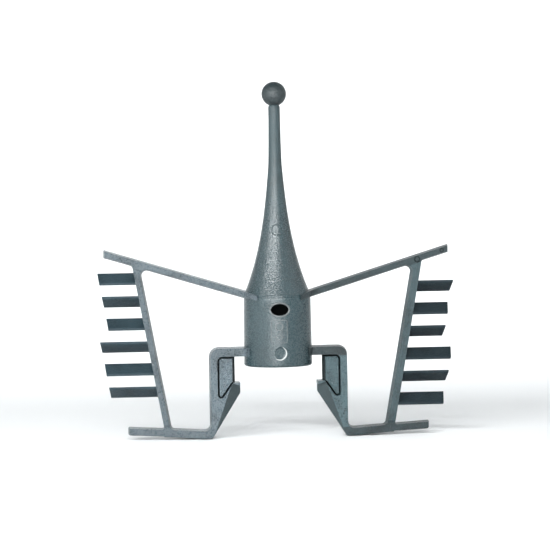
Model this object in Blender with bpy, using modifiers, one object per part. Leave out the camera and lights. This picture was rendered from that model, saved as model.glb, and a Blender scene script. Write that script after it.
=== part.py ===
"""Two-wing whisk attachment: a spire on a drive sleeve, two tined wings and two catch brackets.

X runs along the wings, -Y is the front and Z is up. The hub's axis is the Z axis, the feet stand on
z = 0, and the mould parts at y = 0. Sizes below are in millimetres.
"""

import math

import bmesh
import bpy
from mathutils import Matrix, Vector

MM = 0.001
GAP = 0.3                      # clearance between neighbouring members
ROUND_STEPS = 48               # segments of a turned piece
ARC_STEPS = 6                  # segments of a rounded corner

# Hub
SLEEVE_R = 12.5
BORE_R = 10.3
SLEEVE_BOTTOM = 26.4
SLEEVE_TOP = 51.8
SLEEVE_EDGE = 0.7              # rounding of the sleeve's rim
BELL_BASE_R = 11.8
BELL_WALL = 2.2
BELL_ROOF = 60.0               # top of the hollow inside the bell
BELL_TOP = 100.3
BELL_TOP_R = 2.43
BELL_SKIRT = 2.5               # height of the nearly straight band at the bell's base
SPIRE_R = 2.1
BALL_R = 4.48
BALL_Z = 126.05
VENT_Z = 47.4
VENT_SIZE = (6.4, 4.3)

# Wings
WING_HALF = 2.75               # half depth of bars and tines
POST_HALF = 3.2
ARM_TIP_X = 63.4
ARM_TIP_Z = 68.5
ARM_SLOPE = 0.3057
ARM_HEIGHT = 3.0
COLLAR_R = 13.6                # outside of the collars that carry the roots on the sleeve
ARM_COLLAR_X = 6.6             # where the arm's collar ends
POST_TOP_X = 51.9
POST_TOP_Z = 65.0
POST_LEAN = 0.179
POST_WIDTH = 2.75
FOOT_START_X = 24.8
FOOT_FLAT_X = 27.3             # end of the flat pad under the bracket
FOOT_TIP_X = 55.5
FOOT_SLOPE = 0.06
RAIL_HEIGHT = 3.4
TOE_HEIGHT = 3.3
CORNER_R = 1.8                 # fillets where members meet

# Brackets
BRACKET_HALF = 4.0
HANGER_BOTTOM = 30.0
HANGER_TOP = 33.6
HANGER_COLLAR_X = 10.4
LEG_INNER = 22.6
LEG_OUTER = 25.5
SHOULDER_R = 4.0
WEB_INNER = 17.3
WEB_RECESS = 0.3
WEB_TIP = (21.6, 14.0)
GROOVE = 0.6                   # width of the groove round the web
WEB_FLOOR_HALF = 1.0           # half thickness of the thin floor under the groove
LEDGE_Z = 20.7
HOOK_TIP_X = 14.2
HOOK_NOSE_Z = 16.7
HOOK_EDGE = ((18.2, 18.2), (24.4, 0.3))   # where the chamfer starts on the front face
HOOK_CHAMFER = math.radians(37.0)
CHAMFER_BLOCK = (60.0, 30.0, 20.0)        # length, width and depth of the block that cuts it
CHAMFER_OVERLAP = 1.0

# Tines
TINES = 6
TINE_PITCH = 8.31
TINE_TOP_Z = {"left": 59.2, "right": 54.6}
SHORT_REACH = 14.6             # the upper three, from the post's centre
LONG_REACH = 18.5              # the lower three
TINE_EDGE = 1.1                # height of a tine's edge
TINE_RISE = 3.65               # how far a tine climbs from one edge to the other

PLASTIC = (0.26, 0.31, 0.33, 1.0)
SIDES = (("left", -1.0), ("right", 1.0))


def clear_scene():
    """Remove the objects that are there already."""
    for obj in list(bpy.data.objects):
        bpy.data.objects.remove(obj, do_unlink=True)


def make_collection(name):
    """A new collection linked to the scene."""
    group = bpy.data.collections.new(name)
    bpy.context.scene.collection.children.link(group)
    return group


def plastic(name, shade=1.0):
    """Moulded grey plastic, a little lighter or darker by shade."""
    material = bpy.data.materials.new(name)
    material.use_nodes = True
    shader = material.node_tree.nodes["Principled BSDF"]
    shader.inputs["Base Color"].default_value = tuple(c * shade for c in PLASTIC[:3]) + (1.0,)
    shader.inputs["Roughness"].default_value = 0.5
    shader.inputs["Metallic"].default_value = 0.0
    return material


def new_object(name, data, group):
    """Link an object and give it its own material."""
    obj = bpy.data.objects.new(name, data)
    group.objects.link(obj)
    if data.materials is not None and not data.materials:
        data.materials.append(plastic(name + "_plastic"))
    return obj


def arc(centre, radius, start, end, steps=ARC_STEPS):
    """Points of an arc between two angles in degrees."""
    points = []
    for i in range(steps + 1):
        a = math.radians(start + (end - start) * i / steps)
        points.append((centre[0] + radius * math.cos(a), centre[1] + radius * math.sin(a)))
    return points


def rounded(before, corner, after, radius, steps=ARC_STEPS):
    """The corner's arc, from the line towards before to the line towards after."""
    here = Vector(corner)
    to_before = (Vector(before) - here).normalized()
    to_after = (Vector(after) - here).normalized()
    half = to_before.angle(to_after) / 2.0
    reach = radius / math.tan(half)
    centre = here + (to_before + to_after).normalized() * (radius / math.sin(half))
    first = here + to_before * reach - centre
    last = here + to_after * reach - centre
    turn = first.angle_signed(last)
    points = []
    for i in range(steps + 1):
        spoke = first.copy()
        spoke.rotate(Matrix.Rotation(-turn * i / steps, 2))
        points.append(tuple(centre + spoke))
    return points


def crossing(a, b, c, d):
    """Where line a-b meets line c-d."""
    ax, az = a
    cx, cz = c
    dx1, dz1 = b[0] - ax, b[1] - az
    dx2, dz2 = d[0] - cx, d[1] - cz
    t = ((cx - ax) * dz2 - (cz - az) * dx2) / (dx1 * dz2 - dz1 * dx2)
    return (ax + t * dx1, az + t * dz1)


def plate_curve(name, outline, half_depth, side, group):
    """A flat outline in X and Z, given for the right side, extruded along Y."""
    curve = bpy.data.curves.new(name, "CURVE")
    curve.dimensions = "2D"
    curve.fill_mode = "BOTH"
    curve.extrude = half_depth * MM
    spline = curve.splines.new("POLY")
    spline.points.add(len(outline) - 1)
    for point, (x, z) in zip(spline.points, outline):
        point.co = (side * x * MM, z * MM, 0.0, 1.0)
    spline.use_cyclic_u = True
    obj = new_object(name, curve, group)
    obj.rotation_euler = (math.pi / 2.0, 0.0, 0.0)
    return obj


def as_mesh(obj, group):
    """Turn a curve object into a closed mesh in the same place."""
    bpy.context.view_layer.update()
    evaluated = obj.evaluated_get(bpy.context.evaluated_depsgraph_get())
    mesh = bpy.data.meshes.new_from_object(evaluated)
    cage = bmesh.new()
    cage.from_mesh(mesh)
    bmesh.ops.remove_doubles(cage, verts=cage.verts, dist=1e-6)
    bmesh.ops.recalc_face_normals(cage, faces=cage.faces)
    cage.to_mesh(mesh)
    cage.free()
    name, place = obj.name, obj.matrix_world.copy()
    bpy.data.objects.remove(obj, do_unlink=True)
    solid = new_object(name, mesh, group)
    solid.matrix_world = place
    return solid


def plate_mesh(name, outline, half_depth, side, group):
    """An extruded outline as a mesh, ready for a Boolean."""
    return as_mesh(plate_curve(name, outline, half_depth, side, group), group)


def turned(name, profile, group):
    """A profile of (radius, z), listed down its outer side, turned round Z."""
    mesh = bpy.data.meshes.new(name)
    cage = bmesh.new()
    verts = [cage.verts.new((r * MM, 0.0, z * MM)) for r, z in profile]
    for a, b in zip(verts, verts[1:]):
        cage.edges.new((a, b))
    if profile[0][0] > 0.0:
        cage.edges.new((verts[-1], verts[0]))
    cage.to_mesh(mesh)
    cage.free()
    obj = new_object(name, mesh, group)
    screw = obj.modifiers.new("Turn", "SCREW")
    screw.axis = "Z"
    screw.steps = ROUND_STEPS
    screw.render_steps = ROUND_STEPS
    screw.use_merge_vertices = True
    screw.merge_threshold = 1e-5
    screw.use_smooth_shade = True
    return obj


def as_cutter(obj):
    """Show a cutting body as a wire that isn't part of the object."""
    obj.hide_render = True
    obj.display_type = "WIRE"
    return obj


def cut(target, cutter, operation="DIFFERENCE"):
    """Cut the target with a hidden body."""
    boolean = target.modifiers.new(operation.title(), "BOOLEAN")
    boolean.operation = operation
    boolean.solver = "EXACT"
    boolean.object = as_cutter(cutter)


def arm_centre_z(x):
    """Height of the arm's centre line."""
    return ARM_TIP_Z - ARM_SLOPE * (ARM_TIP_X - x)


def foot_bottom_z(x):
    """Height of the foot's underside, flat under the bracket and then rising."""
    return FOOT_SLOPE * max(0.0, x - FOOT_FLAT_X)


def post_x(z):
    """Centre of the leaning post at a height."""
    return POST_TOP_X - POST_LEAN * (POST_TOP_Z - z)


def bell_radius(z):
    """The bell's outer radius: a flare that steepens towards its base."""
    drop = (BELL_TOP - z) / (BELL_TOP - SLEEVE_TOP)
    return BELL_TOP_R + 4.07 * drop + 1.28 * drop ** 2 + 4.72 * drop ** 3


def make_sleeve(group, cutters):
    """The socket that drops over the drive, with its oval vent."""
    edge = SLEEVE_EDGE
    profile = [(BORE_R, SLEEVE_TOP), (SLEEVE_R, SLEEVE_TOP)]
    profile += arc((SLEEVE_R - edge, SLEEVE_BOTTOM + edge), edge, 0.0, -90.0, 4)
    profile += [(BORE_R, SLEEVE_BOTTOM)]
    sleeve = turned("drive_sleeve", profile, group)
    bpy.ops.mesh.primitive_cylinder_add(vertices=32, radius=0.5, depth=1.0)
    vent = bpy.context.active_object
    vent.name = "vent_cutter"
    for holder in list(vent.users_collection):
        holder.objects.unlink(vent)
    cutters.objects.link(vent)
    width, height = VENT_SIZE
    size = Matrix.Diagonal((width * MM, height * MM, SLEEVE_R * MM, 1.0))
    vent.data.transform(Matrix.Rotation(math.pi / 2.0, 4, "X") @ size)
    vent.location = (0.0, -SLEEVE_R * MM, VENT_Z * MM)
    cut(sleeve, vent)


def make_bell(group):
    """The hollow bell, from the spire's foot down to the ledge above the sleeve."""
    base = SLEEVE_TOP + GAP
    steps = 14
    profile = [(0.0, BELL_TOP)]
    for i in range(steps):
        z = BELL_TOP + (base + BELL_SKIRT - BELL_TOP) * i / (steps - 1)
        profile.append((bell_radius(z), z))
    profile += [(BELL_BASE_R, base)]
    inner = BELL_BASE_R - BELL_WALL
    profile += [(inner, base)]
    dome = BELL_ROOF - base
    for i in range(1, 6):
        a = math.radians(90.0 * i / 6)
        profile.append((inner * math.cos(a), base + dome * math.sin(a)))
    profile += [(0.0, BELL_ROOF)]
    turned("bell", profile, group)


def make_spire(group):
    """The slim rod and the ball on its tip."""
    neck = BALL_Z - math.sqrt(BALL_R ** 2 - SPIRE_R ** 2)
    rod_top, rod_foot = neck - GAP, BELL_TOP + GAP
    profile = [(0.0, rod_top), (SPIRE_R, rod_top), (SPIRE_R, 110.0)]
    profile += [(2.2, 106.0), (BELL_TOP_R, rod_foot), (0.0, rod_foot)]
    turned("spire_rod", profile, group)
    neck_angle = math.degrees(math.asin((neck - BALL_Z) / BALL_R))
    ball = arc((0.0, BALL_Z), BALL_R, 90.0, neck_angle, 18)
    ball[0] = (0.0, BALL_Z + BALL_R)
    turned("ball_tip", ball + [(0.0, neck)], group)


def collar_plan(name, half_depth, end_x, far_x, fillet, side, cutters):
    """Plan view of a bar whose root widens into a collar hugging the sleeve."""
    centre_x = math.sqrt((COLLAR_R + fillet) ** 2 - (half_depth + fillet) ** 2)
    meet = math.degrees(math.atan2(half_depth + fillet, centre_x))
    front = math.degrees(math.acos(end_x / COLLAR_R))
    inner_r = SLEEVE_R + GAP
    inner_front = math.degrees(math.acos(end_x / inner_r))
    half = [(far_x, half_depth)]
    half += arc((centre_x, half_depth + fillet), fillet, -90.0, meet - 180.0, 8)
    half += arc((0.0, 0.0), COLLAR_R, meet, front, 8)[1:]
    inner = arc((0.0, 0.0), inner_r, inner_front, -inner_front, 24)
    outline = half + inner + [(x, -y) for x, y in reversed(half)]
    plan = plate_curve(name, outline, 60.0, side, cutters)
    plan.rotation_euler = (0.0, 0.0, 0.0)
    plan.location = (0.0, 0.0, 50.0 * MM)
    return as_mesh(plan, cutters)


def make_arm(tag, side, group, cutters):
    """The rising bar of the wing, cut upright at its tip."""
    half = ARM_HEIGHT / 2.0
    outline = [(0.0, arm_centre_z(0.0) - half), (ARM_TIP_X, ARM_TIP_Z - half)]
    outline += [(ARM_TIP_X, ARM_TIP_Z + half), (0.0, arm_centre_z(0.0) + half)]
    arm = plate_mesh(tag + "_top_arm", outline, SLEEVE_R + 3.0, side, group)
    plan = collar_plan(tag + "_arm_plan", WING_HALF, ARM_COLLAR_X, ARM_TIP_X + 5.0, 5.0, side, cutters)
    cut(arm, plan, "INTERSECT")


def make_post(tag, side, group):
    """The leaning upright, with fillets where it meets the arm and the foot."""
    half = POST_WIDTH / 2.0
    arm_drop = ARM_HEIGHT / 2.0 + GAP
    top = [(x, arm_centre_z(x) - arm_drop) for x in (40.0, 60.0)]
    foot = [(x, foot_bottom_z(x) + RAIL_HEIGHT + GAP) for x in (30.0, 50.0)]
    inner = [(post_x(z) - half, z) for z in (0.0, POST_TOP_Z)]
    outer = [(post_x(z) + half, z) for z in (0.0, POST_TOP_Z)]
    top_in, top_out = crossing(*top, *inner), crossing(*top, *outer)
    foot_in, foot_out = crossing(*foot, *inner), crossing(*foot, *outer)
    outline = rounded(top[0], top_in, foot_in, CORNER_R)
    outline += rounded(top_in, foot_in, foot[0], CORNER_R * 0.8)
    outline += [foot_out]
    outline += rounded(foot_out, top_out, top[1], CORNER_R * 0.8)
    plate_curve(tag + "_post", outline, POST_HALF, side, group)


def make_foot(tag, side, group):
    """The rail from the bracket to the post, and the free toe beyond it."""
    split = post_x(RAIL_HEIGHT) + POST_WIDTH / 2.0
    ramp_run = (FOOT_START_X - HOOK_TIP_X) / HOOK_NOSE_Z
    rail = [(FOOT_START_X, 0.0), (FOOT_FLAT_X, 0.0), (split, foot_bottom_z(split))]
    rail += [(split, foot_bottom_z(split) + RAIL_HEIGHT), (FOOT_FLAT_X, RAIL_HEIGHT)]
    rail += [(FOOT_START_X - ramp_run * RAIL_HEIGHT, RAIL_HEIGHT)]
    plate_curve(tag + "_foot_rail", rail, BRACKET_HALF, side, group)
    start = split + GAP
    tip_bottom = foot_bottom_z(FOOT_TIP_X)
    low, high = (FOOT_TIP_X, tip_bottom), (FOOT_TIP_X, tip_bottom + TOE_HEIGHT)
    near_low = (start, foot_bottom_z(start))
    near_high = (start, foot_bottom_z(start) + TOE_HEIGHT)
    toe = [near_low] + rounded(near_low, low, high, 0.9) + rounded(low, high, near_high, 0.6) + [near_high]
    plate_curve(tag + "_foot_toe", toe, WING_HALF, side, group)


def make_hanger(tag, side, group, cutters):
    """The bracket's bar, with a round shoulder, and its leg."""
    shoulder = (LEG_OUTER, HANGER_TOP)
    outline = [(0.0, HANGER_BOTTOM), (LEG_OUTER, HANGER_BOTTOM)]
    outline += rounded((LEG_OUTER, 0.0), shoulder, (0.0, HANGER_TOP), SHOULDER_R * 0.78)
    outline += [(0.0, HANGER_TOP)]
    bar = plate_mesh(tag + "_hanger_bar", outline, SLEEVE_R + 3.0, side, group)
    plan = collar_plan(tag + "_hanger_plan", BRACKET_HALF, HANGER_COLLAR_X, LEG_OUTER + 5.0, 1.5, side, cutters)
    cut(bar, plan, "INTERSECT")
    top, bottom = HANGER_BOTTOM - GAP, RAIL_HEIGHT + GAP
    foot_corner = (LEG_OUTER, bottom)
    leg = [(LEG_INNER, top), (LEG_OUTER, top)]
    leg += rounded((LEG_OUTER, top), foot_corner, (40.0, bottom), CORNER_R)
    leg += [(LEG_INNER, bottom)]
    plate_curve(tag + "_hanger_leg", leg, BRACKET_HALF, side, group)


def web_outline(clearance, tip_drop):
    """The web's outline, held off the bar, the leg and the hook by the clearance."""
    right, top = LEG_INNER - clearance, HANGER_BOTTOM - clearance
    tip = (WEB_TIP[0] + GROOVE - clearance, WEB_TIP[1] - tip_drop)
    low = (WEB_INNER, LEDGE_Z + clearance)
    outline = [low, (WEB_INNER, top)]
    outline += rounded((WEB_INNER, top), (right, top), (right, tip[1]), 1.0, 4)
    outline += [(right, tip[1]), (tip[0] - 0.2, tip[1])]
    return outline


def make_web(tag, side, group, cutters):
    """The recessed panel, with a thin floor that reaches out under the groove."""
    face_half = BRACKET_HALF - WEB_RECESS
    web = plate_mesh(tag + "_hanger_web", web_outline(GROOVE, 0.0), face_half, side, group)
    floor = plate_mesh(tag + "_web_floor", web_outline(GAP, 0.5), WEB_FLOOR_HALF, side, cutters)
    cut(web, floor, "UNION")


def chamfer_cutter(tag, side, face, cutters):
    """A block whose near face is the hook's chamfer on one mould half."""
    start, end = Vector(HOOK_EDGE[0]), Vector(HOOK_EDGE[1])
    along = (end - start).normalized()
    inward = Vector((along.y, -along.x))
    if inward.x > 0.0:
        inward = -inward
    slope_in = math.cos(HOOK_CHAMFER)
    slope_back = math.sin(HOOK_CHAMFER)
    edge_axis = Vector((side * along.x, 0.0, along.y))
    down_axis = Vector((side * inward.x * slope_in, -face * slope_back, inward.y * slope_in))
    normal = edge_axis.cross(down_axis).normalized()
    if normal.y * face < 0.0:
        normal = -normal
    middle = (start + end) / 2.0
    origin = Vector((side * middle.x, face * BRACKET_HALF, middle.y))
    cage = bmesh.new()
    bmesh.ops.create_cube(cage, size=1.0)
    length, width, depth = CHAMFER_BLOCK
    size = Matrix.Diagonal((length, width, depth, 1.0))
    frame = Matrix((edge_axis, down_axis, normal)).transposed().to_4x4()
    inset = down_axis * (width / 2.0 - CHAMFER_OVERLAP) + normal * (depth / 2.0)
    place = Matrix.Translation(origin + inset)
    bmesh.ops.transform(cage, matrix=Matrix.Scale(MM, 4) @ place @ frame @ size, verts=cage.verts)
    bmesh.ops.recalc_face_normals(cage, faces=cage.faces)
    label = "front" if face < 0.0 else "back"
    mesh = bpy.data.meshes.new(f"{tag}_{label}_chamfer")
    cage.to_mesh(mesh)
    cage.free()
    return new_object(mesh.name, mesh, cutters)


def make_hook(tag, side, group, cutters):
    """The catch: a ledge over the knife's blade, a nose and a ramp, chamfered front and back."""
    root = LEG_INNER - GAP
    ramp_run = (FOOT_START_X - HOOK_TIP_X) / HOOK_NOSE_Z
    ramp_root = (FOOT_START_X - root) / ramp_run
    outline = [(root, ramp_root), (root, WEB_TIP[1] - 1.0), (WEB_TIP[0] - 0.3, WEB_TIP[1] - 1.0)]
    outline += [(WEB_INNER, LEDGE_Z), (HOOK_TIP_X, LEDGE_Z), (HOOK_TIP_X, HOOK_NOSE_Z)]
    hook = plate_mesh(tag + "_catch_hook", outline, BRACKET_HALF, side, group)
    for face in (-1.0, 1.0):
        cut(hook, chamfer_cutter(tag, side, face, cutters))


def make_tine(tag, side, number, group):
    """A pitched blade, sheared so that its root and its end are parallel to the post."""
    middle = TINE_TOP_Z[tag] - TINE_PITCH * (number - 1)
    reach = SHORT_REACH if number <= TINES / 2 else LONG_REACH
    front_high = (number % 2 == 0) == (tag == "left")
    lean = 1.0 if front_high else -1.0
    cage = bmesh.new()
    bmesh.ops.create_cube(cage, size=1.0)
    root = POST_WIDTH / 2.0 + GAP
    for vert in cage.verts:
        end, depth, level = vert.co * 2.0
        z = middle + level * TINE_EDGE / 2.0 - depth * lean * TINE_RISE / 2.0
        x = post_x(z) + (reach if end > 0.0 else root)
        vert.co = Vector((side * x, depth * WING_HALF, z)) * MM
    bmesh.ops.recalc_face_normals(cage, faces=cage.faces)
    mesh = bpy.data.meshes.new(f"{tag}_tine_{number}")
    cage.to_mesh(mesh)
    cage.free()
    new_object(mesh.name, mesh, group)


def main():
    clear_scene()
    whisk = make_collection("two_wing_whisk")
    cutters = make_collection("cutters")
    make_sleeve(whisk, cutters)
    make_bell(whisk)
    make_spire(whisk)
    for tag, side in SIDES:
        make_arm(tag, side, whisk, cutters)
        make_post(tag, side, whisk)
        make_foot(tag, side, whisk)
        make_hanger(tag, side, whisk, cutters)
        make_web(tag, side, whisk, cutters)
        make_hook(tag, side, whisk, cutters)
        for number in range(1, TINES + 1):
            make_tine(tag, side, number, whisk)


main()
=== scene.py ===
"""The two-wing whisk attachment as one grey moulding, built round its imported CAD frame.

X runs along the wings, -Y is the front and Z is up. The mould parts at y = 0, so every bar leans in
from that plane to its front and back faces. Lengths are in millimetres until a mesh is made.
"""

import math

import bmesh
import bpy
from mathutils import Matrix, Vector


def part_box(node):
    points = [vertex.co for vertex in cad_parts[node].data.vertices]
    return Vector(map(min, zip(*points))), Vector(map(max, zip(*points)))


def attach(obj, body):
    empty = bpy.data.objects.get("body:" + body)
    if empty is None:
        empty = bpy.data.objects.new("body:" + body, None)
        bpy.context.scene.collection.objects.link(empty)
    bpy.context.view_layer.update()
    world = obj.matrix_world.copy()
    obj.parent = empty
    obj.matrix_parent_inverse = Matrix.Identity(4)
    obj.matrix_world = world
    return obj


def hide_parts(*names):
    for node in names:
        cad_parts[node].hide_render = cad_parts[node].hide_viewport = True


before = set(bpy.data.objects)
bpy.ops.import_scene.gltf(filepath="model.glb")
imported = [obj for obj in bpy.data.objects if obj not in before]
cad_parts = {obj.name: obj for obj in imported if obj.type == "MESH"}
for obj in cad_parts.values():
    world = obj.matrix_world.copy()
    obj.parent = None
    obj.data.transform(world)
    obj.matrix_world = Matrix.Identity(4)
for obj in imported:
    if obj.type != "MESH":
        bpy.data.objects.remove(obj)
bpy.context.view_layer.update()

MM = 0.001
SIDES = (("left", -1.0), ("right", 1.0))
HALF_GAP = 0.15                # half of what the CAD leaves open between two members


def cad(node):
    """Lowest and highest corners of a CAD node, in millimetres."""
    low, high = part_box(node)
    return Vector(low) / MM, Vector(high) / MM


# Sizes read from the frame
SLEEVE_LOW, SLEEVE_HIGH = cad("drive_sleeve")
BELL_HIGH = cad("bell")[1]
ROD_LOW = cad("spire_rod")[0]
BALL_LOW, BALL_HIGH = cad("ball_tip")
ARM_LOW, ARM_HIGH = cad("right_top_arm")
POST_HIGH = cad("right_post")[1]
RAIL_HIGH = cad("right_foot_rail")[1]
TOE_HIGH = cad("right_foot_toe")[1]
BAR_LOW, BAR_HIGH = cad("right_hanger_bar")
LEG_LOW, LEG_HIGH = cad("right_hanger_leg")
WEB_HIGH = cad("right_hanger_web")[1]
HOOK_LOW, HOOK_HIGH = cad("right_catch_hook")

# Hub
SLEEVE_R = SLEEVE_HIGH.x
SLEEVE_TOP_R = SLEEVE_R - 0.25
BORE_R = 10.3
CORE_R = 10.9                  # roots end inside the hub's wall, at this radius
BELL_BASE_R = BELL_HIGH.x + 0.32
BELL_WALL = 2.2
BELL_ROOF = 60.0
BELL_SKIRT = 0.9
SPIRE_R = 2.1
BELL_TOP_R = 2.43
BALL_R = BALL_HIGH.x
BALL_Z = BALL_HIGH.z - BALL_R
SEAM_WIDTH = 0.16              # half width of the line where the mould parts
SEAM_HEIGHT = 0.045
VENT_Z = 47.4
VENT_RX, VENT_RZ = 3.2, 2.15
VENT_RIM = 0.3                 # the raised rim runs this far outside the vent
MARK_X, MARK_Z, MARK_R = -0.2, 31.6, 2.35       # ejector mark on the sleeve
BELL_MARK_X, BELL_MARK_Z, BELL_MARK_R = 0.1, 76.3, 2.0
LABEL = (-3.2, 2.6, 35.4, 43.6)                 # raised frame: left, right, bottom and top
SYMBOL_R = 1.35                # the circle and the lozenge inside it

# Wing frame
WING_HALF = TOE_HIGH.y
POST_HALF = POST_HIGH.y
ARM_SLOPE = 0.3057
ARM_HEIGHT = 3.0
ARM_TIP_X = ARM_HIGH.x
ARM_TIP_Z = ARM_HIGH.z - ARM_HEIGHT / 2.0
ARM_ROOT_X = ARM_LOW.x + 0.8
POST_TOP_X = 51.9
POST_TOP_Z = 65.0
POST_LEAN = 0.179
POST_WIDTH = 2.75
FACE_TILT = {"left": 0.0, "right": 0.13}    # the right arm and foot face slightly downwards
POST_EXTRA = {"left": (0.0, 0.0), "right": (0.34, 0.3)}    # added to the post, inwards and outwards
FOOT_START_X = 24.8
FOOT_FLAT_X = 27.3
FOOT_SLOPE = 0.06
FOOT_TIP_X = TOE_HIGH.x
RAIL_HEIGHT = 3.4
TOE_HEIGHT = 3.3
TOE_X = RAIL_HIGH.x + HALF_GAP      # where the rail gives way to the toe
DRAFT = 0.42                   # how far a side leans in over the wing's half depth
EDGE = 0.2                     # rounding of the front and back edges
INNER_SHARE = 1.4              # the post's inner side leans more than the other sides
OUTER_SHARE = 0.2              # and its outer side less
COLLAR_R = SLEEVE_R + 0.3      # outside of the roots where they wrap the sleeve
STEP = 0.14                    # the outer half of the post and the toe lie this much lower
STEP_WIDTH = 0.15
ARM_FILLET = 5.0               # where the arm's root widens into its collar
BAR_FILLET = 1.6               # and the bracket's bar
ARM_ZONE_Z = 45.0              # above this there is nothing but the arm
BAR_ZONE_Z = 26.0              # and from here to there, next to the sleeve, only the bracket's bar
POST_ZONE_X = 32.0             # the post is the only upright beyond this
FOOT_ZONE_X = 30.0             # low down, everything beyond this is the foot
TAPER_START_X = 28.5           # the foot thins from the bracket's depth to the wing's
TAPER_END_X = TOE_X - 2.6
UNDER_ARM = 1.9                # the post's own depth starts this far below the arm's centre line
OVER_RAIL = 0.4                # and this far above the foot
FADE = 0.8                     # height over which the depth changes
BETWEEN_BARS_Z = 42.0          # in the air between the bracket's bar and the arm
BETWEEN_UPRIGHTS_X = 34.0      # and between the bracket's leg and the post
SPLIT_OFFSET = 0.25            # the post and the legs are parted this far from a bar's edge

# Bracket
BRACKET_HALF = LEG_HIGH.y
HANGER_BOTTOM = BAR_LOW.z
HANGER_TOP = BAR_HIGH.z
HANGER_ROOT_X = BAR_LOW.x
LEG_INNER = LEG_LOW.x
LEG_OUTER = BAR_HIGH.x
LEG_SIDE = LEG_INNER - HALF_GAP
LEDGE_Z = HOOK_HIGH.z
HOOK_TIP_X = HOOK_LOW.x
NOSE_Z = 16.7
NOTCH_Z = 12.7                 # where the leg's inner side meets the web's slanted edge
WEB_INNER = 17.3
GROOVE = 0.62
WEB_HALF = WEB_HIGH.y
CHAMFER_EDGE = (Vector((18.0, 18.4)), Vector((24.5, 0.2)))
CHAMFER_ANGLE = math.radians(37.0)

# Tines
TINES = 6
TINE_HALF = 2.5
TINE_EDGE = 1.1
TINE_ROUND = 0.24
TINE_TIP_ROUND = 0.2
TINE_ROOT = 0.55               # tines start inside the post, this far out from its centre line

# Plastic
GREY = (0.029, 0.051, 0.058)
LAMP_COLOUR = (0.98, 1.0, 1.0)
# Tint, grain, lowest and highest roughness, and the grey where it isn't GREY. Tints and greys paint
# light and shade: the left wing is a lit copy of the one plastic, the right wing and the tines shaded
# ones.
LEFT_GREY = (0.037, 0.050, 0.058)
TINE_GREY = (0.027, 0.048, 0.060)
BRACKET_LOOK = {"left": (1.65, 1.7, (0.23, 0.36), LEFT_GREY), "right": (1.35, 2.2, (0.25, 0.39))}
PANEL_LOOK = {"left": (1.85, 1.9, (0.23, 0.36), LEFT_GREY), "right": (1.2, 2.4, (0.27, 0.41))}
BAR_LOOK = {"left": (1.4, 1.7, (0.23, 0.36), LEFT_GREY), "right": (0.4, 2.2, (0.36, 0.48))}
WING_LOOK = {"left": (1.36, 1.7, (0.23, 0.36), LEFT_GREY), "right": (0.52, 2.4, (0.38, 0.50))}
POST_LOOK = {"left": (1.26, 1.7, (0.23, 0.36), LEFT_GREY), "right": (0.86, 2.4, (0.34, 0.46))}
TINE_LOOK = {"left": (0.64, 1.0, (0.34, 0.46), TINE_GREY), "right": (0.35, 1.0, (0.50, 0.62), TINE_GREY)}


# ---------------------------------------------------------------- outlines in X and Z

def arm_z(x):
    """Height of the arm's centre line."""
    return ARM_TIP_Z - ARM_SLOPE * (ARM_TIP_X - x)


def foot_z(x):
    """Height of the foot's underside."""
    return FOOT_SLOPE * max(0.0, x - FOOT_FLAT_X)


def post_x(z):
    """Centre of the leaning post."""
    return POST_TOP_X - POST_LEAN * (POST_TOP_Z - z)


def meeting(first, second):
    """Where two lines, each a pair of points, cross."""
    (a, b), (c, d) = first, second
    u, v = b - a, d - c
    cross = u.x * v.y - u.y * v.x
    if abs(cross) < 1e-9:
        return (b + c) / 2.0
    t = ((c.x - a.x) * v.y - (c.y - a.y) * v.x) / cross
    return a + u * t


def rounded(before, here, after, radius):
    """Points of a corner's arc, one about every eight degrees."""
    back, ahead = (before - here).normalized(), (after - here).normalized()
    opening = back.angle(ahead)
    reach = radius / math.tan(opening / 2.0)
    centre = here + (back + ahead).normalized() * (radius / math.sin(opening / 2.0))
    first, last = here + back * reach - centre, here + ahead * reach - centre
    turn = math.atan2(first.x * last.y - first.y * last.x, first.dot(last))
    steps = max(2, math.ceil(math.degrees(math.pi - opening) / 8.0))
    points = []
    for i in range(steps + 1):
        a = turn * i / steps
        points.append(centre + Vector((first.x * math.cos(a) - first.y * math.sin(a),
                                       first.x * math.sin(a) + first.y * math.cos(a))))
    return points


def inset_outline(corners, inset):
    """A closed outline moved into its material. A corner is (x, z, radius, share of the inset)."""
    spots = [Vector(c[:2]) for c in corners]
    count = len(spots)
    edges = []
    for i in range(count):
        a, b = spots[i], spots[(i + 1) % count]
        along = (b - a).normalized()
        left = Vector((-along.y, along.x)) * inset * corners[i][3]
        edges.append((a + left, b + left))
    places = [meeting(edges[i - 1], edges[i]) for i in range(count)]
    points = []
    for i, here in enumerate(places):
        before, after = places[i - 1], places[(i + 1) % count]
        radius = corners[i][2]
        if radius == 0.0:
            points.append(here)
            continue
        u, v = here - before, after - here
        convex = u.x * v.y - u.y * v.x > 0.0
        share = (corners[i - 1][3] + corners[i][3]) / 2.0
        grown = radius - inset * share if convex else radius + inset * share
        points += rounded(before, here, after, max(grown, 0.05))
    return points


def draft_levels(half, draft=DRAFT, edge=EDGE):
    """(inset, y) from the back face to the front face, through the raised line where the mould parts."""
    levels = [(-SEAM_HEIGHT, 0.0), (0.0, SEAM_WIDTH)]
    for i in range(7):
        a = math.radians(15.0 * i)
        levels.append((draft + edge * (1.0 - math.cos(a)), half - edge * (1.0 - math.sin(a))))
    return [(inset, y) for inset, y in reversed(levels)] + [(inset, -y) for inset, y in levels[1:]]


# The round marks on the front of the right arm: where they are and how wide
ROUND_MARKS = (
    ((post_x(arm_z(POST_TOP_X)) - 0.25, arm_z(POST_TOP_X) - 0.4), 0.95),
    ((60.8, arm_z(60.8)), 0.6),
)


# ---------------------------------------------------------------- meshes

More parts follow.
